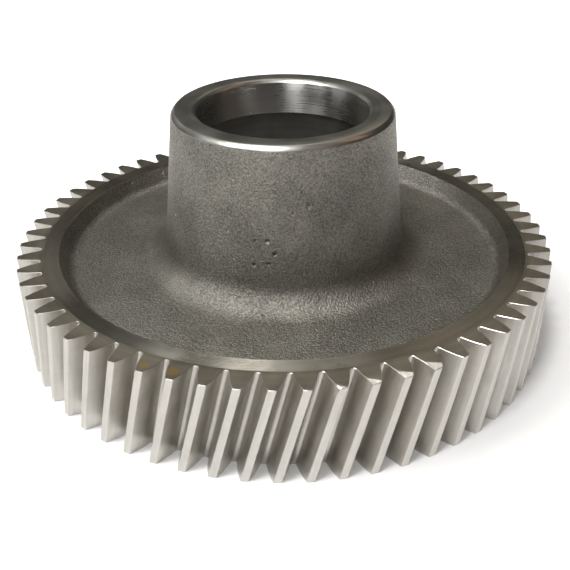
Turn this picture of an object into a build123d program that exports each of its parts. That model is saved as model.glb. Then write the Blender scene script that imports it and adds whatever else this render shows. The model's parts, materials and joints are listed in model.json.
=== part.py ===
from build123d import *
import os
from math import acos, atan, cos, degrees, pi, radians, sin, tan

# Single-helical gear wheel forged with a long hub on one side, all one piece of steel.
# Millimetres. The Z axis is the gear's own axis, and z = 0 is the faced underside of the
# rim, on which the wheel stands. The hub rises above the rim on the +Z side.

# Toothing, as it is given on a gear drawing
TEETH = 61
NORMAL_MODULE = 3.0
NORMAL_PRESSURE_ANGLE = 20.0
HELIX_ANGLE = 14.0  # right hand: the teeth climb anticlockwise, seen from the hub side
FACE_WIDTH = 35.0
ADDENDUM_FACTOR = 1.0
DEDENDUM_FACTOR = 1.25
ROOT_CORNER = 0.9  # height of the bevelled corner at the bottom of a tooth space
BACKLASH = 0.06  # taken off each tooth, measured along the pitch circle
ROOT_FLAT = 1.1  # width of the flat at the bottom of a tooth space
FLANK_CHORDS = 3  # straight chords that stand for one involute flank, 0.03 mm off it at most

# Rim and web
RIM_LAND = 8.0  # faced ring between the tooth roots and the edge of the web recess
RECESS_DEPTH = 6.8  # how far the web lies below each face of the rim
RECESS_WALL_SLOPE = 24.0  # degrees off the axis
RECESS_FOOT_CHAMFER = 2.0

# Hub
HUB_LENGTH = 83.5  # from the underside of the rim to the end face of the hub
HUB_TOP_DIAMETER = 77.4
HUB_DRAFT = 6.2  # degrees, as left by the forging die
HUB_EDGE_CHAMFER = 1.4
HUB_BASE_RADIUS = 10.0
LOWER_BOSS_DIAMETER = 84.0
LOWER_BOSS_BASE_CHAMFER = 3.0

# Bore: a ground bearing seat at each end and a turned relief between them
SEAT_DIAMETER = 60.0
UPPER_SEAT_LENGTH = 11.5
LOWER_SEAT_LENGTH = 11.5
RELIEF_DEPTH = 1.0
BORE_CHAMFER_WIDTH = 1.4
BORE_CHAMFER_DEPTH = 1.2


# Transverse gear geometry, worked out from the normal one
transverse_module = NORMAL_MODULE / cos(radians(HELIX_ANGLE))
transverse_pressure = atan(tan(radians(NORMAL_PRESSURE_ANGLE)) / cos(radians(HELIX_ANGLE)))
pitch_radius = transverse_module * TEETH / 2
base_radius = pitch_radius * cos(transverse_pressure)
tip_radius = pitch_radius + ADDENDUM_FACTOR * NORMAL_MODULE
root_radius = pitch_radius - DEDENDUM_FACTOR * NORMAL_MODULE
flank_start_radius = root_radius + ROOT_CORNER
tooth_step = 360 / TEETH
twist = degrees(FACE_WIDTH * tan(radians(HELIX_ANGLE)) / pitch_radius)

# Radii and heights of the blank that follow from the driving sizes
recess_radius = root_radius - RIM_LAND
ring_radius = (recess_radius + root_radius) / 2
web_top = FACE_WIDTH - RECESS_DEPTH
web_bottom = RECESS_DEPTH
hub_top_radius = HUB_TOP_DIAMETER / 2
lower_boss_radius = LOWER_BOSS_DIAMETER / 2
seat_radius = SEAT_DIAMETER / 2
relief_radius = seat_radius + RELIEF_DEPTH
upper_seat_end = HUB_LENGTH - BORE_CHAMFER_DEPTH
upper_seat_start = upper_seat_end - UPPER_SEAT_LENGTH
lower_seat_end = BORE_CHAMFER_DEPTH + LOWER_SEAT_LENGTH


def involute_roll(radius):
    """The involute function of the flank's pressure angle at a radius, in radians."""
    pressure = acos(base_radius / radius)
    return tan(pressure) - pressure


def half_tooth_angle(radius):
    """Half the angle that a tooth takes up at a radius, in degrees."""
    half_at_pitch = (pi * transverse_module / 2 - BACKLASH) / (2 * pitch_radius)
    return degrees(half_at_pitch + involute_roll(pitch_radius) - involute_roll(radius))


def polar(radius, angle):
    """A point of the toothing's plane, from its radius and its angle in degrees."""
    return Vector(radius * cos(radians(angle)), radius * sin(radians(angle)), 0)


def flank_points(tooth_angle, side):
    """Points up one involute flank, root to tip; side is -1 or +1 for a tooth's two sides."""
    step = (tip_radius - flank_start_radius) / FLANK_CHORDS
    radii = [flank_start_radius + step * index for index in range(FLANK_CHORDS + 1)]
    return [polar(radius, tooth_angle + side * half_tooth_angle(radius)) for radius in radii]


def tooth_points(index, start_angle):
    """Up a tooth's right flank, down its left one, and across the space after it."""
    tooth_angle = start_angle + index * tooth_step
    space_angle = tooth_angle + tooth_step / 2
    half_flat_angle = degrees(ROOT_FLAT / 2 / root_radius)
    right = flank_points(tooth_angle, -1)
    left = flank_points(tooth_angle, 1)
    bottom = [
        polar(root_radius, space_angle - half_flat_angle),
        polar(root_radius, space_angle + half_flat_angle),
    ]
    return right + left[::-1] + bottom


def make_tooth_ring():
    """The toothed ring: the tooth outline twisted along the axis, less the blank inside it.

    A tooth is centred on the X axis at half the face width."""
    points = []
    for index in range(TEETH):
        points += tooth_points(index, -twist / 2)
    outline = Face(Wire.make_polygon(points))
    toothed = Solid.extrude_linear_with_rotation(
        outline, (0, 0, 0), (0, 0, FACE_WIDTH), twist
    )
    core = Pos(0, 0, FACE_WIDTH / 2) * Cylinder(ring_radius, 2 * FACE_WIDTH)
    return toothed - core


def corner(sketch, radius, height):
    """The corner of a half section in the XZ plane that lies at a radius and a height."""
    return sketch.vertices().sort_by_distance((radius, 0, height))[0]


def turned(points):
    """A half section in the XZ plane, as a face, from (radius, height) pairs."""
    wire = Polyline(*[(radius, 0, height) for radius, height in points], close=True)
    return make_face(wire)


def make_blank():
    """The forged blank inside the tooth ring: rim, web, hub and the short boss below."""
    hub_taper = tan(radians(HUB_DRAFT))
    wall_inset = RECESS_DEPTH * tan(radians(RECESS_WALL_SLOPE))
    foot_radius = recess_radius - wall_inset
    chamfer_height = HUB_LENGTH - HUB_EDGE_CHAMFER
    chamfer_radius = hub_top_radius + HUB_EDGE_CHAMFER * hub_taper
    hub_foot_radius = hub_top_radius + (HUB_LENGTH - web_top) * hub_taper
    boss_foot_radius = lower_boss_radius + RECESS_DEPTH * hub_taper
    section = turned(
        [
            (0, 0),
            (lower_boss_radius, 0),
            (boss_foot_radius, web_bottom),
            (foot_radius, web_bottom),
            (recess_radius, 0),
            (ring_radius, 0),
            (ring_radius, FACE_WIDTH),
            (recess_radius, FACE_WIDTH),
            (foot_radius, web_top),
            (hub_foot_radius, web_top),
            (chamfer_radius, chamfer_height),
            (chamfer_radius - HUB_EDGE_CHAMFER, HUB_LENGTH),
            (0, HUB_LENGTH),
        ]
    )
    for height in (web_bottom, web_top):
        section = chamfer(corner(section, foot_radius, height), RECESS_FOOT_CHAMFER)
    section = fillet(corner(section, hub_foot_radius, web_top), HUB_BASE_RADIUS)
    boss_corner = corner(section, boss_foot_radius, web_bottom)
    section = chamfer(boss_corner, LOWER_BOSS_BASE_CHAMFER)
    return revolve(section, Axis.Z)


def make_bore():
    """The space of the bore: two bearing seats, the relief between, and both lead-ins."""
    mouth_radius = seat_radius + BORE_CHAMFER_WIDTH
    section = turned(
        [
            (0, 0),
            (mouth_radius, 0),
            (seat_radius, BORE_CHAMFER_DEPTH),
            (seat_radius, lower_seat_end),
            (relief_radius, lower_seat_end),
            (relief_radius, upper_seat_start),
            (seat_radius, upper_seat_start),
            (seat_radius, upper_seat_end),
            (mouth_radius, HUB_LENGTH),
            (0, HUB_LENGTH),
        ]
    )
    return revolve(section, Axis.Z)


gear = make_blank() - make_bore() + make_tooth_ring()

os.makedirs("parts", exist_ok=True)
export_step(gear, "parts/helical_gear.step")
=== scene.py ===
# %% [markdown]
# # A helical gear wheel with a long hub
#
# The CAD model gives this gear its sizes. Here it gets the surfaces that a real one has after
# the forging hammer, the shot blaster, the lathe, the gear hobber and the grinder. Each step is
# a cell: first a few words on what is being made and why in this way, then the code.
#
# It must be the first thing in the scene, because everything else is placed from it.

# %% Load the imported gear
import json
from math import acos, atan, cos, degrees, hypot, pi, radians, sin, tan

import bmesh
import bpy
from mathutils import Matrix, Vector


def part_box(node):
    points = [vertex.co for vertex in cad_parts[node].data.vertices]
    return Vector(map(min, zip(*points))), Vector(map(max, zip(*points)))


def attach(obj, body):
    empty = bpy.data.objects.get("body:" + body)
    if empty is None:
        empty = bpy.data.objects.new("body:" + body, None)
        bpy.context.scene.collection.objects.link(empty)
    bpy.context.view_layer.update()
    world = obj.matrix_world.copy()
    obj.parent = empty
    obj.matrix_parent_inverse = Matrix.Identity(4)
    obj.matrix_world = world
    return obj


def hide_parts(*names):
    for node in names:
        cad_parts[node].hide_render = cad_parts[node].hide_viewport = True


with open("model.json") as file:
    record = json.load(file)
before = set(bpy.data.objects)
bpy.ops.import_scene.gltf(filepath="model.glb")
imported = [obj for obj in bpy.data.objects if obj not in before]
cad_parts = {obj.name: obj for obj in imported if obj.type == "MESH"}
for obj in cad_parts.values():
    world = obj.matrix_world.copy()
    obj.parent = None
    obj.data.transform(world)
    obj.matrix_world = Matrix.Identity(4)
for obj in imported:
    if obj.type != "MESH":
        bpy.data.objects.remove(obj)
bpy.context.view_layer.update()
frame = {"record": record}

CAD_NODE = "helical_gear"
MM = 0.001
low_corner, high_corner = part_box(CAD_NODE)
mounts = {mount["name"]: mount for mount in frame["record"]["mounts"]}
print("CAD box, mm:", [round((b - a) / MM, 2) for a, b in zip(low_corner, high_corner)])

# %% [markdown]
# ## The sizes of the toothing
#
# A gear's teeth follow from a few numbers: how many teeth, the module, the pressure angle and
# the helix angle. The tip circle is the widest part of the CAD box, so the module can be worked
# out backwards from it. The face width is twice the height at which the record puts the middle
# of the teeth. Everything is in metres, as Blender works.
#
# The spaces of the real gear are cut deeper than a standard tooth's, by about a millimetre and a
# half, which shows where the teeth run out at the top face. So the dedendum is larger here.

# %% Sizes of the toothing
TEETH = 61
PRESSURE_ANGLE = radians(20)
HELIX_ANGLE = radians(14)
DEDENDUM_FACTOR = 1.74
BACKLASH = 0.06 * MM
tip_radius = high_corner[0]
face_width = 2 * mounts["tooth_mesh"]["pos_m"][2]
normal_module = tip_radius / (TEETH / (2 * cos(HELIX_ANGLE)) + 1)
pitch_radius = tip_radius - normal_module
root_radius = pitch_radius - DEDENDUM_FACTOR * normal_module
transverse_pressure = atan(tan(PRESSURE_ANGLE) / cos(HELIX_ANGLE))
base_radius = pitch_radius * cos(transverse_pressure)
twist = face_width * tan(HELIX_ANGLE) / pitch_radius
half_pitch = pi / TEETH
print("module %.3f mm, twist over the face %.2f degrees" % (normal_module / MM, degrees(twist)))

# %% [markdown]
# ## Small helpers for modelling by operators
#
# Blender's operators act on whatever is selected, and loading the frame leaves the CAD node
# selected. So every step first clears the selection and then picks what it needs by place,
# just as a modeller would click it.

# %% Helpers for selecting and editing


def only(*objects):
    """Selects these objects and nothing else; the first one becomes the active one."""
    bpy.ops.object.select_all(action="DESELECT")
    for thing in objects:
        thing.select_set(True)
    bpy.context.view_layer.objects.active = objects[0]


def edit(thing):
    """Opens one object in edit mode with nothing selected."""
    only(thing)
    bpy.ops.object.mode_set(mode="EDIT")
    bpy.ops.mesh.select_all(action="DESELECT")


def close_edit():
    bpy.ops.object.mode_set(mode="OBJECT")


def pick(thing, kind, test):
    """In edit mode, selects the 'verts', 'edges' or 'faces' that pass a test, and counts them."""
    modes = {"verts": "VERT", "edges": "EDGE", "faces": "FACE"}
    bpy.ops.mesh.select_mode(type=modes[kind])
    bpy.ops.mesh.select_all(action="DESELECT")
    mesh = bmesh.from_edit_mesh(thing.data)
    chosen = [part for part in getattr(mesh, kind) if test(part)]
    for part in chosen:
        part.select_set(True)
    bmesh.update_edit_mesh(thing.data)
    return len(chosen)


def radius_of(point):
    return hypot(point[0], point[1])


# %% [markdown]
# ## One tooth's share of the rim
#
# The rim repeats 61 times, so one share of it is modelled and copied. Seen along the axis, a
# share runs from the middle of one tooth space to the middle of the next. Its flanks are
# involutes, the curve that a taut string's end draws as it unwinds from a circle. The bottom of
# the space is rounded, because a hob's teeth have rounded tips, and the two edges of the tip
# land are broken by a tenth or two of a millimetre.
#
# The outline could be drawn by hand, but a gear's flank is a formula, so the formula places the
# points of a circle primitive.

# %% The outline of one tooth
RING_RADIUS = 88.3 * MM
ROOT_FLAT = 0.7 * MM
ROOT_CORNER = 1.3 * MM
TIP_EDGE = 0.16 * MM
FLANK_ROWS = 5
INNER_STEPS = 4


def involute(radius):
    pressure = acos(base_radius / radius)
    return tan(pressure) - pressure


def half_tooth(radius):
    """Half the angle that a tooth takes up at a radius."""
    tooth_width = pi * pitch_radius / TEETH - BACKLASH / 2
    return tooth_width / (2 * pitch_radius) + involute(pitch_radius) - involute(radius)


def between(start, end, share):
    return start + (end - start) * share


def root_curve(share):
    """A point of the rounded bottom of a space, from its flat (0) to the flank (1)."""
    flat_end = (root_radius, -half_pitch + ROOT_FLAT / 2 / root_radius)
    corner = (root_radius, -half_tooth(root_radius))
    flank = (root_radius + ROOT_CORNER, -half_tooth(root_radius + ROOT_CORNER))
    first = [between(a, b, share) for a, b in zip(flat_end, corner)]
    second = [between(a, b, share) for a, b in zip(corner, flank)]
    return tuple(between(a, b, share) for a, b in zip(first, second))


right_half = [(root_radius, -half_pitch)]
right_half += [root_curve(share) for share in (0, 0.35, 0.7)]
for row in range(FLANK_ROWS):
    climb = row / (FLANK_ROWS - 1)
    flank_radius = between(root_radius + ROOT_CORNER, tip_radius - TIP_EDGE, climb)
    right_half.append((flank_radius, -half_tooth(flank_radius)))
right_half.append((tip_radius, -half_tooth(tip_radius) + TIP_EDGE / tip_radius))
left_half = [(radius, -angle) for radius, angle in reversed(right_half)]
inner_arc = [
    (RING_RADIUS, half_pitch - 2 * half_pitch * step / INNER_STEPS)
    for step in range(INNER_STEPS + 1)
]
outline = right_half + [(tip_radius, 0)] + left_half + inner_arc
print("points round one share of the rim:", len(outline))

# %% [markdown]
# ## From the outline to a twisted tooth
#
# A helical tooth is a spur tooth whose outline turns as it climbs. The face is extruded upward
# in equal slices and turned a little after each. Without a window, the rotate operator turns
# the other way round, so the angle is negative here for an anticlockwise climb.

# %% Extrude and twist the tooth
SLICES = 8


def make_share():
    """A closed block: one tooth and the piece of rim under it, centred on +X at mid height."""
    bpy.ops.object.select_all(action="DESELECT")
    bpy.ops.mesh.primitive_circle_add(vertices=len(outline), radius=tip_radius, fill_type="NGON")
    share = bpy.context.object
    for vertex, (radius, angle) in zip(share.data.vertices, outline):
        turned = angle - twist / 2
        vertex.co = (radius * cos(turned), radius * sin(turned), 0)
    edit(share)
    bpy.ops.mesh.select_all(action="SELECT")
    for _ in range(SLICES):
        rise = (0, 0, face_width / SLICES)
        bpy.ops.mesh.extrude_region_move(TRANSFORM_OT_translate={"value": rise})
        bpy.ops.transform.rotate(
            value=-twist / SLICES, orient_axis="Z", center_override=(0, 0, 0)
        )
    close_edit()
    return share


share_block = make_share()
print("faces of one share:", len(share_block.data.polygons))

# %% [markdown]
# ## Open the sides and break the end edges
#
# Neighbouring shares join side by side, so the walls between them have to go, and so does the
# wall towards the hub. Where the teeth run out at the end faces, a real gear is brushed to take
# the burr off. That leaves a very small bevel, and without it no edge would catch any light.

# %% Open a share and bevel its ends
END_BREAK = 0.14 * MM
WALL_SLOPE = 0.5  # a face whose normal has less of Z than this is a wall
FLAT_SLOPE = 0.8  # and one with more of it is an end face or a filed facet
SIDE_TOLERANCE = 0.02 * half_pitch
NEARBY = 0.1 * MM


def angle_round_axis(point):
    return Vector((point[0], point[1])).angle_signed(Vector((1, 0)))


def untwisted_angle(point):
    """A point's angle round the axis, with the climb of the helix taken out."""
    lean = (point[2] / face_width - 0.5) * twist
    angle = angle_round_axis(point) - lean
    return (angle + pi) % (2 * pi) - pi


def is_inner_wall(face):
    centre = face.calc_center_median()
    on_side = abs(abs(untwisted_angle(centre)) - half_pitch) < SIDE_TOLERANCE
    on_ring = radius_of(centre) < RING_RADIUS + NEARBY
    return abs(face.normal.z) < WALL_SLOPE and (on_side or on_ring)


def is_end_edge(edge):
    """An edge between an end face, or a filed facet, and the wall of a tooth or space."""
    if len(edge.link_faces) != 2:
        return False
    slopes = sorted(abs(face.normal.z) for face in edge.link_faces)
    return slopes[0] < WALL_SLOPE and slopes[1] > FLAT_SLOPE


def finish_share(share):
    edit(share)
    pick(share, "faces", is_inner_wall)
    bpy.ops.mesh.delete(type="FACE")
    pick(share, "edges", is_end_edge)
    bpy.ops.mesh.bevel(offset=END_BREAK, segments=1, affect="EDGES")
    close_edit()


# %% [markdown]
# ## The corners that somebody filed
#
# On four neighbouring teeth the end of the tooth has been dressed by hand with a file, each one
# a little more than the last. A flat cut of the file is a plane, so each of these shares is
# bisected by a plane that leans outward and a little to one side, and the cut is filled.

# %% File the end corners of four teeth
FILED_REACH = {47: 0.8 * MM, 48: 1.5 * MM, 49: 1.9 * MM, 50: 2.3 * MM}
FILE_LEAN_OUT = 0.30
FILE_LEAN_SIDE = 0.20


def copy_of(thing):
    only(thing)
    bpy.ops.object.duplicate(linked=False)
    return bpy.context.object


def file_corner(share, reach):
    """Cuts the top outer end of a tooth; reach is where the cut starts, inward from the tip."""
    out = Vector((cos(twist / 2), sin(twist / 2), 0))
    side = Vector((sin(twist / 2), -cos(twist / 2), 0))
    normal = Vector((0, 0, 1)) + FILE_LEAN_OUT * out + FILE_LEAN_SIDE * side
    start = (tip_radius - reach) * out + Vector((0, 0, face_width))
    edit(share)
    bpy.ops.mesh.select_all(action="SELECT")
    bpy.ops.mesh.bisect(plane_co=start, plane_no=normal, use_fill=True, clear_outer=True)
    close_edit()


shares = []
for number in range(TEETH):
    share = copy_of(share_block)
    if number in FILED_REACH:
        file_corner(share, FILED_REACH[number])
    shares.append((number, share))
print("shares of the rim:", len(shares), "of which filed:", len(FILED_REACH))

# %% [markdown]
# ## Set the 61 shares round the axis
#
# Each copy is finished and turned to its own place. The turn is applied at once, so that the
# place is in the mesh and not in the object. Joining and merging the doubles turns 61 shares
# into one ring of teeth.

# %% Place and join the shares
for number, share in shares:
    finish_share(share)
    share.rotation_euler.z = number * 2 * half_pitch
ring_parts = [share for _, share in shares]
only(*ring_parts)
bpy.ops.object.transform_apply(location=False, rotation=True, scale=False)
bpy.ops.object.join()
tooth_ring = bpy.context.object
bpy.data.objects.remove(share_block)
print("faces of the tooth ring:", len(tooth_ring.data.polygons))

# %% [markdown]
# ## The profile of the blank, as a turner would draw it
#
# Everything inside the teeth is a body of revolution, so its half section says it all. It is
# written as a list of (radius, height) corners from the rim inward. Sharp corners left by a tool
# are eased by a tenth of a millimetre, and the forged hollows get true arcs.

# %% Sizes of the blank
RECESS_RADIUS = 82.55 * MM
RECESS_DEPTH = 6.8 * MM
RECESS_WALL_SLOPE = radians(24)
RECESS_FOOT_RADIUS = 3.5 * MM
HUB_TOP_RADIUS = 38.7 * MM
HUB_DRAFT = radians(6.2)
HUB_CHAMFER = 1.4 * MM
HUB_BASE_RADIUS = 10.0 * MM
BOSS_RADIUS = 42.0 * MM
BOSS_BASE_RADIUS = 5.0 * MM
BORE_CHAMFER = (1.4 * MM, 1.2 * MM)
RELIEF_DEPTH = 1.0 * MM
EASED = 0.12 * MM
BRIDGE_SHARES = (0.46, 0.54)  # where the relief is bridged, as shares of the hub's height
hub_top = high_corner[2]
seat_radius = mounts["upper_bearing_seat"]["dims"]["r_mm"] * MM
seat_length = mounts["upper_bearing_seat"]["dims"]["length_mm"] * MM
relief_radius = seat_radius + RELIEF_DEPTH
print("recess edge %.2f, seat %.2f mm radius" % (RECESS_RADIUS / MM, seat_radius / MM))

# %% Helpers for a half section


def arc(centre, radius, start, end, steps):
    """Points on an arc, both ends included; angles in degrees, 0 pointing outward."""
    turns = [radians(between(start, end, step / steps)) for step in range(steps + 1)]
    return [(centre[0] + radius * cos(turn), centre[1] + radius * sin(turn)) for turn in turns]


def line(start, end, steps):
    """Points strictly between two ends, for rings that the surface needs on the way."""
    return [
        (between(start[0], end[0], step / steps), between(start[1], end[1], step / steps))
        for step in range(1, steps)
    ]


def eased(before, corner, after):
    """A sharp corner replaced by two points a little way along its two sides."""
    points = []
    for neighbour in (before, after):
        way = Vector(neighbour) - Vector(corner)
        points.append(tuple(Vector(corner) + way.normalized() * EASED))
    return points


def recess_points(face_height, inward):
    """From the recess edge down its sloping wall to the end of the arc at its foot."""
    slope = degrees(RECESS_WALL_SLOPE)
    web = face_height + inward * RECESS_DEPTH
    edge = (RECESS_RADIUS, face_height)
    centre_height = web - inward * RECESS_FOOT_RADIUS
    drop = abs(centre_height - face_height)
    wall_radius = RECESS_RADIUS - drop * tan(RECESS_WALL_SLOPE)
    centre = (wall_radius - RECESS_FOOT_RADIUS / cos(RECESS_WALL_SLOPE), centre_height)
    foot = arc(centre, RECESS_FOOT_RADIUS, inward * slope, inward * 90, 6)
    start = (RING_RADIUS, face_height)
    return [start] + eased(start, edge, foot[0]) + line(edge, foot[0], 3) + foot


# %% [markdown]
# ## The upper half section: rim, web, hub and bearing seat
#
# Starting at the rim, the line drops into the recess, crosses the web, sweeps up the rounded
# base of the hub, climbs the drafted flank, turns over the chamfer and goes down the bore. The
# last number given to an arc or a line is how many steps it has.

# %% The upper half section
web_top = face_width - RECESS_DEPTH
base_height = web_top + HUB_BASE_RADIUS
base_centre = (
    HUB_TOP_RADIUS + (hub_top - base_height) * tan(HUB_DRAFT) + HUB_BASE_RADIUS / cos(HUB_DRAFT),
    base_height,
)
upper = recess_points(face_width, -1)
hub_base = arc(base_centre, HUB_BASE_RADIUS, 270, 180 + degrees(HUB_DRAFT), 10)
upper += line(upper[-1], hub_base[0], 11) + hub_base
chamfer_low = (HUB_TOP_RADIUS + HUB_CHAMFER * tan(HUB_DRAFT), hub_top - HUB_CHAMFER)
chamfer_high = (chamfer_low[0] - HUB_CHAMFER, hub_top)
mouth = (seat_radius + BORE_CHAMFER[0], hub_top)
seat_top = (seat_radius, hub_top - BORE_CHAMFER[1])
seat_end = (seat_radius, seat_top[1] - seat_length)
relief_top = (relief_radius, seat_end[1])
relief_middle = (relief_radius, BRIDGE_SHARES[1] * hub_top)
upper += line(hub_base[-1], chamfer_low, 22)
upper += eased(hub_base[-1], chamfer_low, chamfer_high)
upper += eased(chamfer_low, chamfer_high, mouth)
upper += eased(chamfer_high, mouth, seat_top)
upper += eased(mouth, seat_top, seat_end)
upper += line(seat_top, seat_end, 3)
upper += eased(seat_top, seat_end, relief_top) + [relief_top]
upper += line(relief_top, relief_middle, 4) + [relief_middle]
print("rings in the upper half section:", len(upper))

# %% [markdown]
# ## The lower half section
#
# The underside is hidden when the gear stands, and it is finished plainly: the same recess, a
# short boss that ends level with the rim, and a second bearing seat like the upper one.

# %% The lower half section
boss_height = RECESS_DEPTH - BOSS_BASE_RADIUS
boss_centre = (
    BOSS_RADIUS + boss_height * tan(HUB_DRAFT) + BOSS_BASE_RADIUS / cos(HUB_DRAFT),
    boss_height,
)
lower = recess_points(0, 1)
boss_base = arc(boss_centre, BOSS_BASE_RADIUS, 90, 180 - degrees(HUB_DRAFT), 6)
boss_edge = (BOSS_RADIUS, 0)
low_mouth = (seat_radius + BORE_CHAMFER[0], 0)
low_seat = (seat_radius, BORE_CHAMFER[1])
low_seat_end = (seat_radius, BORE_CHAMFER[1] + seat_length)
low_relief = (relief_radius, low_seat_end[1])
low_relief_middle = (relief_radius, BRIDGE_SHARES[0] * hub_top)
lower += line(lower[-1], boss_base[0], 10) + boss_base
lower += eased(boss_base[-1], boss_edge, low_mouth)
lower += eased(boss_edge, low_mouth, low_seat)
lower += eased(low_mouth, low_seat, low_seat_end)
lower += eased(low_seat, low_seat_end, low_relief) + [low_relief]
lower += line(low_relief, low_relief_middle, 4) + [low_relief_middle]
print("rings in the lower half section:", len(lower))

# %% [markdown]
# ## Turn both half sections
#
# A circle of edges starts where the tooth ring ends and is extruded along the half section,
# resized at each corner. That is a lathe made of two operators, and unlike a spin it leaves no
# seam. The circle has four edges for each tooth and starts turned by half the twist, so its
# points meet those of the teeth exactly.

# %% Extrude the rings of the blank
RING_STEPS = INNER_STEPS * TEETH


def turn(points, first_angle):
    bpy.ops.object.select_all(action="DESELECT")
    bpy.ops.mesh.primitive_circle_add(
        vertices=RING_STEPS,
        radius=points[0][0],
        location=(0, 0, points[0][1]),
        rotation=(0, 0, first_angle),
    )
    blank = bpy.context.object
    bpy.ops.object.transform_apply(location=True, rotation=True, scale=False)
    edit(blank)
    bpy.ops.mesh.select_mode(type="EDGE")
    bpy.ops.mesh.select_all(action="SELECT")
    for here, there in zip(points, points[1:]):
        step = (0, 0, there[1] - here[1])
        bpy.ops.mesh.extrude_edges_move(TRANSFORM_OT_translate={"value": step})
        ratio = there[0] / here[0]
        bpy.ops.transform.resize(value=(ratio, ratio, 1), center_override=(0, 0, 0))
    close_edit()
    return blank


upper_blank = turn(upper, twist / 2)
lower_blank = turn(lower, -twist / 2)
print("faces of the blank:", len(upper_blank.data.polygons) + len(lower_blank.data.polygons))

# %% [markdown]
# ## One closed piece of steel
#
# The three parts are joined, their doubles merged, and the two open ends inside the bore are
# bridged. The normals are recalculated after that. A count of the edges that don't have
# exactly two faces shows whether the skin is closed: it has to be nought.

# %% Join, bridge and check
MERGE_DISTANCE = 0.004 * MM
only(tooth_ring, upper_blank, lower_blank)
bpy.ops.object.join()
gear = bpy.context.object
gear.name = "gear_forging"
gear.data.name = "gear_forging"
edit(gear)
bpy.ops.mesh.select_mode(type="VERT")
bpy.ops.mesh.select_all(action="SELECT")
bpy.ops.mesh.remove_doubles(threshold=MERGE_DISTANCE)
open_edges = pick(gear, "edges", lambda edge: len(edge.link_faces) == 1)
print("open edges before the bridge:", open_edges, "of", 2 * RING_STEPS, "expected")
bpy.ops.mesh.bridge_edge_loops()
bpy.ops.mesh.select_all(action="SELECT")
bpy.ops.mesh.normals_make_consistent(inside=False)
faulty = pick(gear, "edges", lambda edge: len(edge.link_faces) != 2)
close_edit()
print("edges without exactly two faces:", faulty)

# %% [markdown]
# ## Which part of the skin is which
#
# The same piece of steel shows nine different surfaces, one for each way it was worked. The
# faces are told apart by their place and slope. The names are the finishes, in the order of
# the object's material slots.

# %% Sort the faces by finish
FINISHES = ["forged", "faced", "end", "turned", "hobbed", "land", "ground", "relief", "filed"]
LEVEL_SLOPE = 0.85  # the bevel of an end edge has less of Z, and counts as tooth wall
TRUE_SLOPE = 0.995  # a filed facet leans, so its normal has less of Z than this


def in_bore(radius, height):
    inside = radius < relief_radius + 2 * NEARBY
    return inside and BORE_CHAMFER[1] < height < hub_top - BORE_CHAMFER[1]


def bore_finish(radius):
    return "ground" if radius < seat_radius + 2 * NEARBY else "relief"


def tooth_finish(radius, slope, number_of_corners):
    if LEVEL_SLOPE < slope < TRUE_SLOPE and number_of_corners > 3:
        return "filed"
    if abs(slope) > LEVEL_SLOPE:
        return "end"
    return "land" if radius > tip_radius - NEARBY else "hobbed"


def finish_of(face):
    centre, slope = face.center, face.normal.z
    radius, height = radius_of(centre), centre.z
    if radius > RING_RADIUS:
        return tooth_finish(radius, slope, len(face.vertices))
    if radius > RECESS_RADIUS - 2 * EASED and abs(slope) > FLAT_SLOPE:
        return "faced"
    if in_bore(radius, height):
        return bore_finish(radius)
    if radius < chamfer_low[0] and height > chamfer_low[1] - EASED:
        return "turned"
    if radius < BOSS_RADIUS + EASED and height < BORE_CHAMFER[1]:
        return "turned"
    return "forged"


for face in gear.data.polygons:
    face.material_index = FINISHES.index(finish_of(face))
counts = [sum(f.material_index == i for f in gear.data.polygons) for i in range(len(FINISHES))]
print("faces by finish:", dict(zip(FINISHES, counts)))

# %% [markdown]
# ## The uneven skin of the forging
#
# A hammered and shot-blasted surface is never quite true. A Displace modifier with a cloud
# texture moves the skin of web and hub in and out by up to 0.06 mm. A vertex
# group keeps it off the machined faces, and the modifier is applied so that the shape is in
# the mesh.

# %% Displace the forged skin
SKIN_UNEVENNESS = 0.12 * MM
forged = FINISHES.index("forged")
machined_points = set()
for face in gear.data.polygons:
    if face.material_index != forged:
        machined_points.update(face.vertices)
skin = gear.vertex_groups.new(name="forged_skin")
skin_points = [v.index for v in gear.data.vertices if v.index not in machined_points]
skin.add(skin_points, 1.0, "REPLACE")
clouds = bpy.data.textures.new("forged_unevenness", type="CLOUDS")
clouds.noise_scale = 14 * MM
clouds.noise_depth = 2
only(gear)
uneven = gear.modifiers.new("uneven", "DISPLACE")
uneven.texture = clouds
uneven.texture_coords = "LOCAL"
uneven.vertex_group = skin.name
uneven.strength = SKIN_UNEVENNESS
uneven.mid_level = 0.5
bpy.ops.object.modifier_apply(modifier=uneven.name)
print("points moved:", len(skin_points))

# %% [markdown]
# ## Pits in the flank of the hub
#
# Scale pressed into hot steel falls out later and leaves small round pits. On this hub six of
# them sit close together at the front and the others are scattered. Each pit is given by its
# angle round the hub in degrees, then its height, radius and depth in millimetres. The skin is
# made finer there, and the nearest point is pushed in with proportional editing, which pulls
# its neighbours along.

# %% Push in the pits
PITS = [
    (-103.1, 52.1, 0.68, 0.80), (-97.2, 52.5, 1.04, 1.04), (-93.7, 48.2, 0.88, 0.96),
    (-96.6, 44.5, 0.94, 0.96), (-102.9, 44.2, 0.94, 0.96), (-103.3, 46.2, 0.55, 0.48),
    (-152.2, 52.0, 0.66, 0.64), (-145.7, 52.1, 0.55, 0.56), (-151.5, 44.0, 0.66, 0.64),
    (-115.3, 54.9, 0.50, 0.48), (-112.2, 45.3, 0.55, 0.48), (-85.9, 62.2, 0.55, 0.48),
    (-78.6, 64.0, 1.21, 0.56), (-68.4, 58.1, 0.55, 0.56), (-31.7, 53.0, 0.83, 0.80),
    (-88.6, 56.0, 0.55, 0.48), (-81.3, 41.2, 0.55, 0.48), (-44.8, 79.4, 0.66, 0.64),
]
PIT_MARGIN = 1.3 * MM
PIT_CUTS = 4


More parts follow.
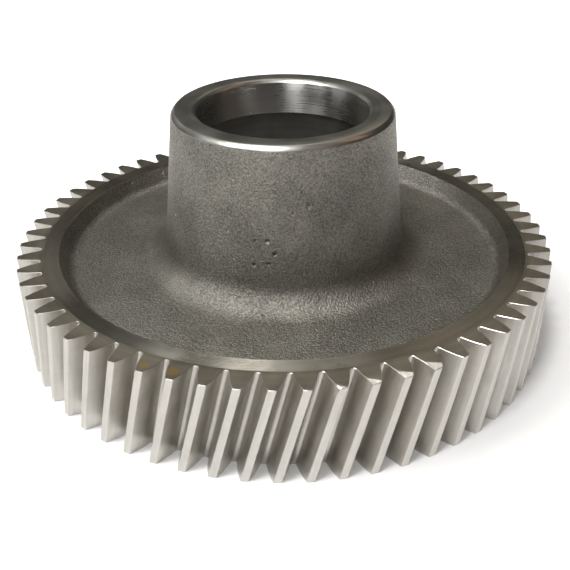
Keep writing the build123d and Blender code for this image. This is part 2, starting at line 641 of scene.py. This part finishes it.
def hub_point(angle_degrees, height):
    """The place on the hub's drafted flank at an angle and a height, in metres."""
    radius = HUB_TOP_RADIUS + (hub_top - height) * tan(HUB_DRAFT)
    angle = radians(angle_degrees)
    return Vector((radius * cos(angle), radius * sin(angle), height))


def push_pit(angle_degrees, height, radius, depth):
    place = hub_point(angle_degrees, height)
    inward = -Vector((place.x, place.y, 0)).normalized() * depth
    reach = radius + PIT_MARGIN
    pick(gear, "faces", lambda f: (f.calc_center_median() - place).length < reach)
    bpy.ops.mesh.subdivide(number_cuts=PIT_CUTS)
    mesh = bmesh.from_edit_mesh(gear.data)
    nearest = min(mesh.verts, key=lambda v: (v.co - place).length)
    pick(gear, "verts", lambda v: v.index == nearest.index)
    bpy.ops.transform.translate(
        value=inward,
        use_proportional_edit=True,
        proportional_edit_falloff="SMOOTH",
        proportional_size=radius,
    )


edit(gear)
for angle_degrees, height, radius, depth in PITS:
    push_pit(angle_degrees, height * MM, radius * MM, depth * MM)
close_edit()
print("pits:", len(PITS), "faces now:", len(gear.data.polygons))

# %% [markdown]
# ## Shading, and the CAD body it rides on
#
# Faces that meet at less than 30 degrees are shaded as one smooth surface. The piece then rides
# on the CAD body, and the CAD node itself is hidden.

# %% Shade the gear and hang it on the CAD body
SMOOTH_ANGLE = radians(30)
only(gear)
bpy.ops.object.shade_smooth_by_angle(angle=SMOOTH_ANGLE)
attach(gear, "root")
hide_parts(CAD_NODE)
print("triangles:", sum(len(face.vertices) - 2 for face in gear.data.polygons))

# %% [markdown]
# ## Building materials from nodes
#
# A short helper adds a node, sets its options and fills its inputs. An input that is given a
# socket is linked, and any other value is typed in. Inputs are named as in the interface, and
# nodes whose inputs share one name are filled by number.

# %% Node helpers


def fill(tree, made, inputs):
    for key, value in inputs.items():
        socket = made.inputs[key]
        if isinstance(value, bpy.types.NodeSocket):
            tree.links.new(value, socket)
        else:
            socket.default_value = value


def node(tree, kind, inputs=None, **options):
    made = tree.nodes.new("ShaderNode" + kind)
    for name, value in options.items():
        setattr(made, name, value)
    fill(tree, made, inputs or {})
    return made


def maths(tree, operation, *values, clamp=False):
    made = node(tree, "Math", dict(enumerate(values)), operation=operation, use_clamp=clamp)
    return made.outputs[0]


def ramp(tree, value, from_low, from_high, to_low=0.0, to_high=1.0):
    """Maps a value from one range to another, smoothly and without leaving it."""
    inputs = {
        "Value": value, "From Min": from_low, "From Max": from_high,
        "To Min": to_low, "To Max": to_high,
    }
    return node(tree, "MapRange", inputs, interpolation_type="SMOOTHSTEP").outputs["Result"]


def blend_colours(tree, share, first, second, mode="MIX"):
    made = node(tree, "Mix", data_type="RGBA", blend_type=mode, clamp_factor=True)
    fill(tree, made, {0: share, 6: first, 7: second})
    return made.outputs[2]


def noise(tree, place, scale, detail=2.0, rough=0.5):
    inputs = {"Vector": place, "Scale": scale, "Detail": detail, "Roughness": rough}
    return node(tree, "TexNoise", inputs).outputs["Fac"]


def new_group(name, inputs, outputs):
    """A node group with float or colour inputs and outputs; returns it and its two ends."""
    group = bpy.data.node_groups.new(name, "ShaderNodeTree")
    for way, sockets in (("INPUT", inputs), ("OUTPUT", outputs)):
        for socket_name, kind, value in sockets:
            made = group.interface.new_socket(socket_name, in_out=way, socket_type=kind)
            if value is not None:
                made.default_value = value
    start = group.nodes.new("NodeGroupInput")
    end = group.nodes.new("NodeGroupOutput")
    return group, start, end


FLOAT, COLOUR, VECTOR = "NodeSocketFloat", "NodeSocketColor", "NodeSocketVector"

# %% [markdown]
# ## Effect: the grain of a shot-blasted forging
#
# Steel shot leaves thousands of overlapping dimples, each smaller than a millimetre. Between
# them the colour is mottled by the heat of the forge, and a few deeper specks stay dark. Two
# sizes of noise make the height. The finer one and a slow one together mix the two greys.

# %% Group: blasted skin
skin_group, start, end = new_group(
    "Blasted skin",
    [
        ("Grain per metre", FLOAT, 1500.0),
        ("Light grey", COLOUR, (0.40, 0.385, 0.35, 1)),
        ("Dark grey", COLOUR, (0.30, 0.29, 0.26, 1)),
        ("Speck share", FLOAT, 0.5),
    ],
    [("Colour", COLOUR, None), ("Roughness", FLOAT, None), ("Height", FLOAT, None)],
)
tree = skin_group
place = node(tree, "TexCoord").outputs["Object"]
fine = noise(tree, place, start.outputs["Grain per metre"], 3.0, 0.72)
coarse_scale = maths(tree, "MULTIPLY", start.outputs["Grain per metre"], 0.5)
coarse = noise(tree, place, coarse_scale, 2.0, 0.5)
mottle = noise(tree, place, 55.0, 3.0, 0.6)
speck_noise = noise(tree, place, 620.0, 1.0, 0.4)
speck = ramp(tree, speck_noise, 0.70, 0.78)
speck = maths(tree, "MULTIPLY", speck, start.outputs["Speck share"])
height = maths(tree, "ADD", fine, maths(tree, "MULTIPLY", coarse, 0.4))
height = maths(tree, "SUBTRACT", height, maths(tree, "MULTIPLY", speck, 0.8))
shade = maths(tree, "ADD", ramp(tree, mottle, 0.35, 0.65, 0.0, 0.3),
              ramp(tree, fine, 0.38, 0.62, 0.0, 0.7))
colour = blend_colours(tree, shade, start.outputs["Dark grey"], start.outputs["Light grey"])
colour = blend_colours(tree, speck, colour, (0.10, 0.095, 0.085, 1))
rough = ramp(tree, fine, 0.3, 0.7, 0.50, 0.38)
fill(tree, end, {"Colour": colour, "Roughness": rough, "Height": height})

# %% [markdown]
# ## Effect: the rings of a turning or grinding tool
#
# A tool that is fed along a turning part leaves rings. Their place depends only on the distance
# from the axis on a flat face, and only on the height in a bore. The sum of both works for
# either, and it drives a noise with one dimension.

# %% Group: tool rings
ring_group, start, end = new_group(
    "Tool rings",
    [
        ("Rings per metre", FLOAT, 2500.0),
        ("Light grey", COLOUR, (0.5, 0.48, 0.44, 1)),
        ("Dark grey", COLOUR, (0.4, 0.385, 0.35, 1)),
    ],
    [("Colour", COLOUR, None), ("Roughness", FLOAT, None), ("Height", FLOAT, None)],
)
tree = ring_group
place = node(tree, "TexCoord").outputs["Object"]
parts = node(tree, "SeparateXYZ", {"Vector": place})
squares = [maths(tree, "POWER", parts.outputs[axis], 2.0) for axis in ("X", "Y")]
from_axis = maths(tree, "SQRT", maths(tree, "ADD", *squares))
along = maths(tree, "ADD", from_axis, parts.outputs["Z"])
along = maths(tree, "MULTIPLY", along, start.outputs["Rings per metre"])
fine_rings = node(
    tree, "TexNoise", {"W": along, "Scale": 1.0, "Detail": 1.0}, noise_dimensions="1D"
)
slow_along = maths(tree, "MULTIPLY", along, 0.17)
wide_rings = node(
    tree, "TexNoise", {"W": slow_along, "Scale": 1.0, "Detail": 1.0}, noise_dimensions="1D"
)
patches = noise(tree, place, 70.0, 3.0, 0.55)
shade = maths(tree, "ADD", ramp(tree, wide_rings.outputs["Fac"], 0.3, 0.7, 0.0, 0.45),
              ramp(tree, patches, 0.35, 0.65, 0.0, 0.55))
colour = blend_colours(tree, shade, start.outputs["Dark grey"], start.outputs["Light grey"])
rough = maths(tree, "ADD", ramp(tree, fine_rings.outputs["Fac"], 0.3, 0.7, 0.0, 0.06),
              ramp(tree, patches, 0.3, 0.7, 0.22, 0.32))
fill(tree, end, {"Colour": colour, "Roughness": rough, "Height": fine_rings.outputs["Fac"]})

# %% [markdown]
# ## Effect: streaks along the teeth
#
# A hob cuts along the helix, so its marks lean as the teeth do. The helix is taken out of the
# coordinates by turning each point back by its share of the twist. A noise that is stretched
# along the axis in those coordinates then runs exactly along the flanks.

# %% Group: hob streaks
hob_group, start, end = new_group(
    "Hob streaks",
    [
        ("Streaks per metre", FLOAT, 900.0),
        ("Light grey", COLOUR, (0.62, 0.60, 0.56, 1)),
        ("Dark grey", COLOUR, (0.50, 0.485, 0.45, 1)),
    ],
    [("Colour", COLOUR, None), ("Roughness", FLOAT, None), ("Height", FLOAT, None)],
)
tree = hob_group
place = node(tree, "TexCoord").outputs["Object"]
height_above = node(tree, "SeparateXYZ", {"Vector": place}).outputs["Z"]
turn_back = maths(tree, "MULTIPLY", height_above, -twist / face_width)
straight = node(
    tree, "VectorRotate", {"Vector": place, "Angle": turn_back}, rotation_type="Z_AXIS"
)
stretched = node(tree, "Mapping", {"Vector": straight.outputs["Vector"], "Scale": (1, 1, 0.06)})
streaks = noise(tree, stretched.outputs["Vector"], start.outputs["Streaks per metre"], 3.0, 0.6)
blotches = noise(tree, place, 160.0, 3.0, 0.6)
shade = maths(tree, "ADD", ramp(tree, streaks, 0.3, 0.7, 0.0, 0.5),
              ramp(tree, blotches, 0.35, 0.65, 0.0, 0.5))
colour = blend_colours(tree, shade, start.outputs["Dark grey"], start.outputs["Light grey"])
rough = ramp(tree, blotches, 0.3, 0.7, 0.30, 0.44)
fill(tree, end, {"Colour": colour, "Roughness": rough, "Height": streaks})

# %% [markdown]
# ## Effect: bright edges
#
# Edges rub against other parts in the bin and turn bright. The Bevel node gives the normal that
# a slightly rounded edge would have. Where that differs from the true normal there is an edge
# near by, and a noise breaks the line up.

# %% Group: edge wear
wear_group, start, end = new_group(
    "Edge wear",
    [("Width", FLOAT, 0.0003), ("Amount", FLOAT, 0.6)],
    [("Mask", FLOAT, None)],
)
tree = wear_group
rounded = node(tree, "Bevel", {"Radius": start.outputs["Width"]}, samples=6).outputs["Normal"]
true_normal = node(tree, "NewGeometry").outputs["Normal"]
likeness = node(tree, "VectorMath", {0: rounded, 1: true_normal}, operation="DOT_PRODUCT")
edge = ramp(tree, likeness.outputs["Value"], 0.985, 0.86)
place = node(tree, "TexCoord").outputs["Object"]
broken = ramp(tree, noise(tree, place, 420.0, 2.0), 0.3, 0.6, 0.35, 1.0)
mask = maths(tree, "MULTIPLY", maths(tree, "MULTIPLY", edge, broken), start.outputs["Amount"])
fill(tree, end, {"Mask": mask})

# %% [markdown]
# ## Effect: dried oil
#
# A drop of cutting oil dries to a yellow-brown patch. It is a ball round a given place, whose
# edge is made ragged by a noise.

# %% Group: dried oil
oil_group, start, end = new_group(
    "Dried oil",
    [("Place", VECTOR, None), ("Reach", FLOAT, 0.002)],
    [("Mask", FLOAT, None)],
)
tree = oil_group
place = node(tree, "TexCoord").outputs["Object"]
offset = node(tree, "VectorMath", {0: place, 1: start.outputs["Place"]}, operation="SUBTRACT")
far = node(tree, "VectorMath", {0: offset.outputs["Vector"]}, operation="LENGTH").outputs["Value"]
far = maths(tree, "DIVIDE", far, start.outputs["Reach"])
ragged = maths(tree, "ADD", far, noise(tree, place, 900.0, 3.0, 0.6))
fill(tree, end, {"Mask": ramp(tree, ragged, 1.6, 1.0)})

# %% [markdown]
# ## The nine finishes of one piece of steel
#
# All of them are bare metal, so Metallic is 1 everywhere and the finishes differ in colour,
# roughness and relief. The faced rim and the ground seats stretch their reflections across the
# fine grooves, which is what the Anisotropic setting does. Its direction comes from a tangent
# that runs round the axis.

# %% Build the materials
RUBBED_STEEL = (0.78, 0.76, 0.72, 1)
OIL_BROWN = (0.42, 0.31, 0.14, 1)
ACROSS = 0.25  # a quarter turn from the tangent
OIL_SPOTS = [  # angle in degrees, radius, reach
    (-110.0, 93.6 * MM, 2.6 * MM), (-115.5, 94.0 * MM, 1.8 * MM),
]


def steel(
    name, group, settings, bump, wear, anisotropic=0.0, roughness_shift=0.0, oil=()
):
    """A bare steel material: one effect group, a bump from its height, edge wear and oil spots.

    wear is the width of the rubbed edge and how far it shows."""
    material = bpy.data.materials.new(name)
    material.use_nodes = True
    tree = material.node_tree
    shader = tree.nodes["Principled BSDF"]
    effect = node(tree, "Group", node_tree=group)
    fill(tree, effect, settings)
    worn = node(tree, "Group", node_tree=wear_group)
    fill(tree, worn, {"Width": wear[0], "Amount": wear[1]})
    colour = effect.outputs["Colour"]
    colour = blend_colours(tree, worn.outputs["Mask"], colour, RUBBED_STEEL)
    for angle_degrees, radius, reach in oil:
        angle = radians(angle_degrees)
        spot = node(tree, "Group", node_tree=oil_group)
        place = (radius * cos(angle), radius * sin(angle), face_width)
        fill(tree, spot, {"Place": place, "Reach": reach})
        colour = blend_colours(tree, spot.outputs["Mask"], colour, OIL_BROWN)
    rough = maths(tree, "ADD", effect.outputs["Roughness"], roughness_shift, clamp=True)
    relief_inputs = {"Height": effect.outputs["Height"], "Strength": 1.0, "Distance": bump}
    relief = node(tree, "Bump", relief_inputs)
    fill(tree, shader, {
        "Base Color": colour, "Metallic": 1.0, "Roughness": rough,
        "Normal": relief.outputs["Normal"],
    })
    if anisotropic:
        shader.inputs["Anisotropic"].default_value = anisotropic
        shader.inputs["Anisotropic Rotation"].default_value = ACROSS
        round_axis = node(tree, "Tangent", direction_type="RADIAL", axis="Z")
        tree.links.new(round_axis.outputs["Tangent"], shader.inputs["Tangent"])
    return material


def greys(light, dark):
    return {"Light grey": (*light, 1), "Dark grey": (*dark, 1)}


materials = {
    "forged": steel(
        "blasted forging", skin_group, greys((0.39, 0.375, 0.335), (0.155, 0.15, 0.13)),
        0.42 * MM, (0.0003, 0.3),
    ),
    "faced": steel(
        "faced rim", ring_group, greys((0.46, 0.44, 0.385), (0.36, 0.34, 0.29)),
        0.001 * MM, (0.0003, 0.5), anisotropic=1.0, roughness_shift=0.01,
    ),
    "end": steel(
        "tooth ends", ring_group, greys((0.34, 0.315, 0.255), (0.25, 0.23, 0.185)),
        0.003 * MM, (0.0003, 0.5), roughness_shift=0.16, oil=OIL_SPOTS,
    ),
    "turned": steel(
        "turned hub end", ring_group, greys((0.48, 0.475, 0.44), (0.40, 0.395, 0.36)),
        0.001 * MM, (0.0003, 0.6), roughness_shift=0.05,
    ),
    "hobbed": steel(
        "hobbed flanks", hob_group, greys((0.62, 0.60, 0.56), (0.52, 0.50, 0.46)),
        0.002 * MM, (0.0003, 0.6),
    ),
    "land": steel(
        "tooth lands", hob_group, greys((0.67, 0.65, 0.61), (0.57, 0.55, 0.51)),
        0.001 * MM, (0.0003, 0.6),
    ),
    "ground": steel(
        "ground bearing seat", ring_group, greys((0.62, 0.61, 0.60), (0.55, 0.54, 0.53)),
        0.0001 * MM, (0.0002, 0.1), anisotropic=1.0, roughness_shift=0.02,
    ),
    "relief": steel(
        "rough turned relief", ring_group, greys((0.30, 0.29, 0.27), (0.24, 0.23, 0.21)),
        0.02 * MM, (0.0002, 0.2), roughness_shift=0.18,
    ),
    "filed": steel(
        "filed corner", hob_group, greys((0.80, 0.78, 0.72), (0.50, 0.48, 0.44)),
        0.03 * MM, (0.0003, 0.8),
    ),
}
for finish in FINISHES:
    gear.data.materials.append(materials[finish])
print("materials on the gear:", len(gear.data.materials))

# %% [markdown]
# ## The ground it stands on
#
# The floor is white paper that runs out of the picture. Its own colour takes the shadow, and a
# light of its own, for camera rays only, lifts the lit part to white without lighting the gear.
# That light grows away from the gear, where the lamps fade. Gloss and transmission rays get a
# weaker one, so that the steel doesn't mirror a floor brighter than the lamps make it.

# %% Floor
SEEN_GLOW = (0.10, 0.22, 0.18, 1.0)  # from this distance to that one, and the glow at each
MIRRORED_GLOW = (0.12, 0.36, 0.17, 0.6)
bpy.ops.object.select_all(action="DESELECT")
bpy.ops.mesh.primitive_plane_add(size=8, location=(0, 0, 0))
floor = bpy.context.object
floor.name = "floor"
paper = bpy.data.materials.new("white paper")
paper.use_nodes = True
tree = paper.node_tree
path = node(tree, "LightPath").outputs
offset = node(tree, "TexCoord").outputs["Object"]
from_gear = node(tree, "VectorMath", {0: offset}, operation="LENGTH").outputs["Value"]
seen = maths(tree, "MULTIPLY", path["Is Camera Ray"], ramp(tree, from_gear, *SEEN_GLOW))
mirrored = maths(tree, "ADD", path["Is Glossy Ray"], path["Is Transmission Ray"], clamp=True)
mirrored = maths(tree, "MULTIPLY", mirrored, ramp(tree, from_gear, *MIRRORED_GLOW))
fill(tree, tree.nodes["Principled BSDF"], {
    "Base Color": (0.8, 0.8, 0.8, 1), "Roughness": 0.9, "Specular IOR Level": 0.0,
    "Emission Color": (1, 1, 1, 1),
    "Emission Strength": maths(tree, "ADD", seen, mirrored),
})
floor.data.materials.append(paper)

# %% [markdown]
# ## Light
#
# The room is dim, a little brighter on the left, with one dark column at the back. The lamps
# are soft boxes placed by their direction. A small strong one, high at the front left, makes
# the bright band on the rounded base of the hub. Two windows, at the front and at the side, are
# mirrored in the bearing seat and across the rim. A low one fills in the teeth on the left, and
# a thin one above it stands for a slit. Weak ones behind light the web and the rim, and warm
# ones give the right side a brown tint.

# %% World and lamps
world = bpy.data.worlds.new("studio")
bpy.context.scene.world = world
world.use_nodes = True
tree = world.node_tree
ROOM_LIGHT = 0.076
DARK_COLUMN = radians(160)
path = node(tree, "LightPath").outputs
way = node(tree, "SeparateXYZ", {"Vector": node(tree, "TexCoord").outputs["Generated"]}).outputs
from_front = maths(tree, "ARCTAN2", way["X"], maths(tree, "MULTIPLY", way["Y"], -1.0))
to_left = ramp(tree, way["X"], -0.7, 0.7, 1.3, 0.6)
room = maths(tree, "MULTIPLY", to_left, ROOM_LIGHT)
from_column = maths(tree, "ABSOLUTE", maths(tree, "SUBTRACT", from_front, DARK_COLUMN))
in_column = ramp(tree, from_column, radians(2), radians(5), 0.25, 1.0)
room = maths(tree, "MULTIPLY", room, in_column)
room_colour = node(tree, "CombineColor", {
    "Red": room, "Green": maths(tree, "MULTIPLY", room, 0.97),
    "Blue": maths(tree, "MULTIPLY", room, 0.88),
}).outputs["Color"]
background = tree.nodes["Background"]
fill(tree, background, {
    "Color": blend_colours(tree, path["Is Camera Ray"], room_colour, (1, 1, 1, 1)),
    "Strength": 1.0,
})
AIM = Vector((0, 0, 0.04))


def softbox(name, azimuth, elevation, distance, width, height, power, colour=(1, 1, 1)):
    """An area light; azimuth 0 is in front of the gear, on -Y, and grows towards +X."""
    around, up = radians(azimuth), radians(elevation)
    away = Vector((sin(around) * cos(up), -cos(around) * cos(up), sin(up)))
    bpy.ops.object.light_add(type="AREA", location=AIM + away * distance)
    lamp = bpy.context.object
    lamp.name = name
    lamp.rotation_euler = away.to_track_quat("Z", "Y").to_euler()
    lamp.data.shape = "RECTANGLE"
    lamp.data.size = width
    lamp.data.size_y = height
    lamp.data.energy = power
    lamp.data.color = colour
    lamp.visible_camera = False
    return lamp


softbox("overhead", -33, 68, 1.2, 0.26, 0.20, 9.3)
softbox("front window", -17, 48, 1.0, 0.34, 0.40, 1.3, (1.0, 0.99, 0.96))
softbox("side window", -66, 56, 1.0, 0.20, 0.40, 3.1, (1.0, 0.99, 0.96))
softbox("back ceiling", 175, 68, 1.2, 0.50, 0.30, 1.3, (1.0, 0.98, 0.93))
softbox("back wall left", -140, 25, 1.3, 0.60, 0.4, 0.35, (1.0, 0.95, 0.85))
softbox("fill left", -82, 12, 1.4, 0.6, 0.3, 0.8)
softbox("bright slit", -92, 50, 1.0, 0.02, 0.5, 0.35)
softbox("back wall right", 158, 40, 1.3, 0.50, 0.5, 0.4, (1.0, 0.90, 0.76))
softbox("warm slit", 101, 50, 1.2, 0.10, 0.5, 0.35, (1.0, 0.62, 0.42))
softbox("warm wall", 44, 45, 1.2, 0.40, 0.5, 0.25, (1.0, 0.66, 0.50))

# %% [markdown]
# ## Camera
#
# The gear is seen from the front and a little more than thirty degrees above. The distance and
# the lens come from how much the near teeth look larger than the far ones.

# %% Camera
CAMERA_LENS = 52.36
CAMERA_SHIFT = (0.001, 0.04375)
CAMERA_AZIMUTH = radians(0.295)
CAMERA_ELEVATION = radians(32.357)
CAMERA_DISTANCE = 3.4027 * tip_radius
CAMERA_ROLL = radians(-0.416)
away = Vector((
    cos(CAMERA_ELEVATION) * sin(CAMERA_AZIMUTH),
    -cos(CAMERA_ELEVATION) * cos(CAMERA_AZIMUTH),
    sin(CAMERA_ELEVATION),
))
bpy.ops.object.camera_add(location=away * CAMERA_DISTANCE)
camera = bpy.context.object
upright = away.to_track_quat("Z", "Y").to_matrix()
camera.rotation_euler = (upright @ Matrix.Rotation(CAMERA_ROLL, 3, "Z")).to_euler()
camera.data.lens = CAMERA_LENS
camera.data.sensor_width = 36.0
camera.data.shift_x, camera.data.shift_y = CAMERA_SHIFT
camera.data.clip_start = 0.01
bpy.context.scene.camera = camera
bpy.context.scene.view_settings.view_transform = "Standard"
